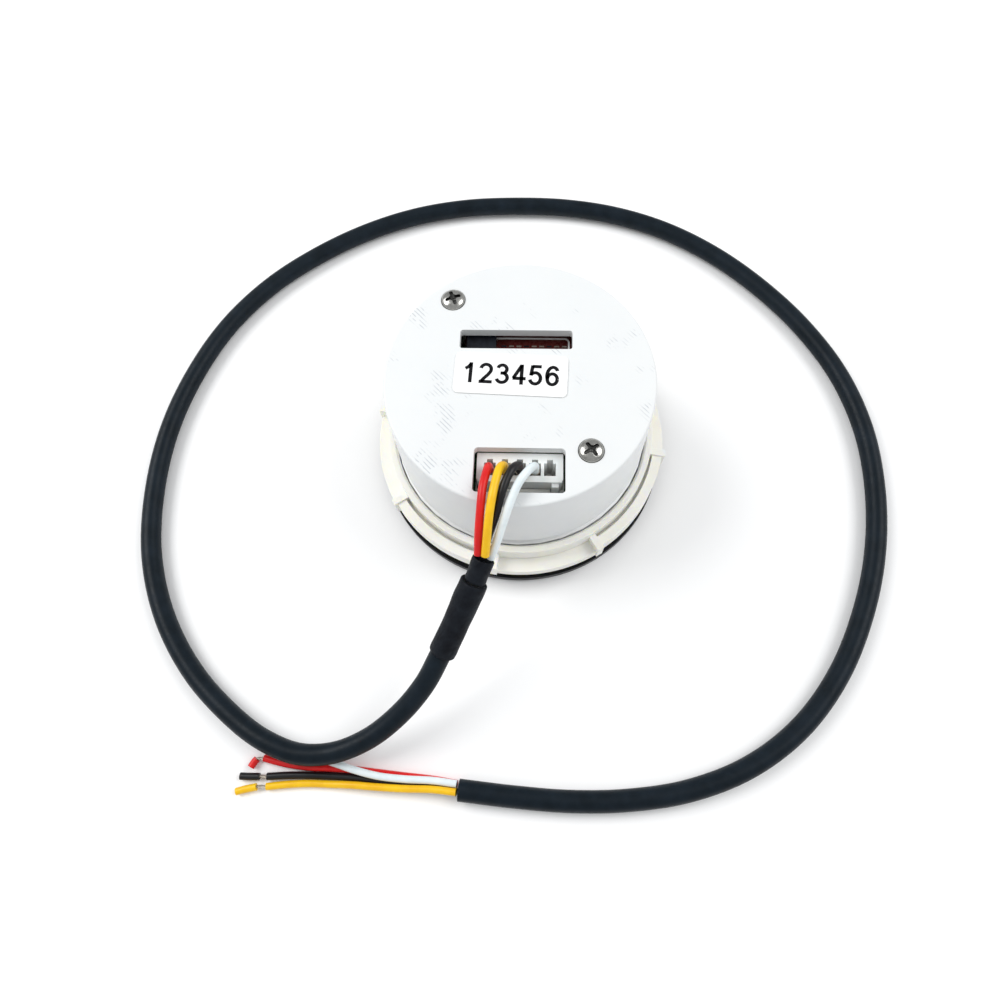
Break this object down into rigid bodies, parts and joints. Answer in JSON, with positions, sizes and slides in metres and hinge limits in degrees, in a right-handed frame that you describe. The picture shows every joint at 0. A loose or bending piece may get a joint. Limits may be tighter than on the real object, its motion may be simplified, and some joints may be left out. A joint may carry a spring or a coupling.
{
  "type": "round panel-mount battery monitor display",
  "caption": "Round panel display for a battery monitor, lying face down: black bezel, white cup body, screw-on lock ring, plug-in signal cable with bare ends.",
  "frame": {"origin": "centre of the bezel's front face, which the part lies on", "axes": "+Z from the front of the bezel out of the back of the body; +Y from the cable socket towards the slot; +X to the right seen from behind with the socket below"},
  "size_m": [0.1496, 0.1331, 0.0329],
  "materials": {
    "cover_plastic": "white plastic with fine layer lines",
    "ring_plastic": "natural off-white nylon, slightly translucent",
    "bezel_plastic": "black satin moulding",
    "window_clear": "clear window",
    "display_glass": "dark liquid-crystal panel",
    "case_plastic": "white moulding",
    "board_green": "green solder mask",
    "board_red": "dark red solder mask",
    "part_black": "black component plastic",
    "washer_nylon": "black nylon",
    "screw_steel": "nickel-plated steel",
    "contact_tin": "tinned brass",
    "label_paper": "white sticker with black numbers",
    "connector_nylon": "natural nylon",
    "wire_red": "red PVC insulation",
    "wire_yellow": "yellow PVC insulation",
    "wire_black": "black PVC insulation",
    "wire_white": "white PVC insulation",
    "sleeve_black": "matte black heat-shrink sleeve",
    "jacket_black": "black PVC jacket"
  },
  "bodies": {
    "body": {"front_bezel": "bezel_plastic", "front_window": "window_clear", "display_panel": "display_glass", "display_frame": "case_plastic", "housing_barrel": "case_plastic", "rear_cover": "cover_plastic", "cover_screw_1": "screw_steel", "cover_screw_2": "screw_steel", "number_label": "label_paper", "front_board": "board_green", "rear_board": "board_green", "board_link": "part_black", "radio_board": "board_red", "radio_link": "part_black", "radio_module": "part_black", "board_header": "connector_nylon", "header_pin_1": "contact_tin", "header_pin_2": "contact_tin", "header_pin_3": "contact_tin", "header_pin_4": "contact_tin", "header_pin_5": "contact_tin"},
    "washer": {"slip_washer": "washer_nylon"},
    "ring": {"lock_ring": "ring_plastic"},
    "plug": {"plug_housing": "connector_nylon", "crimp_red": "contact_tin", "crimp_yellow": "contact_tin", "crimp_black": "contact_tin", "crimp_white": "contact_tin", "cable_jacket": "jacket_black", "inner_sleeve": "sleeve_black", "outer_sleeve": "sleeve_black", "lead_red": "wire_red", "tail_red": "wire_red", "slug_red": "wire_red", "strand_red": "contact_tin", "lead_yellow": "wire_yellow", "tail_yellow": "wire_yellow", "slug_yellow": "wire_yellow", "strand_yellow": "contact_tin", "lead_black": "wire_black", "tail_black": "wire_black", "slug_black": "wire_black", "strand_black": "contact_tin", "lead_white": "wire_white", "tail_white": "wire_white", "slug_white": "wire_white", "strand_white": "contact_tin"}
  },
  "joints": [
    {"name": "ring_travel", "type": "slide", "parent": "body", "child": "washer", "axis": [0, 0, 1], "range_m": [0, 0.006]},
    {"name": "ring_turn", "type": "hinge", "parent": "washer", "child": "ring", "pos_m": [0, 0, 0.007], "axis": [0, 0, 1], "range_deg": [0, 1080]},
    {"name": "plug_pull", "type": "slide", "parent": "body", "child": "plug", "axis": [0, 0, 1], "range_m": [0, 0.0075]}
  ],
  "couplings": [
    {"joint": "ring_travel", "follows": "ring_turn", "m_per_rad": 0.00031831}
  ]
}
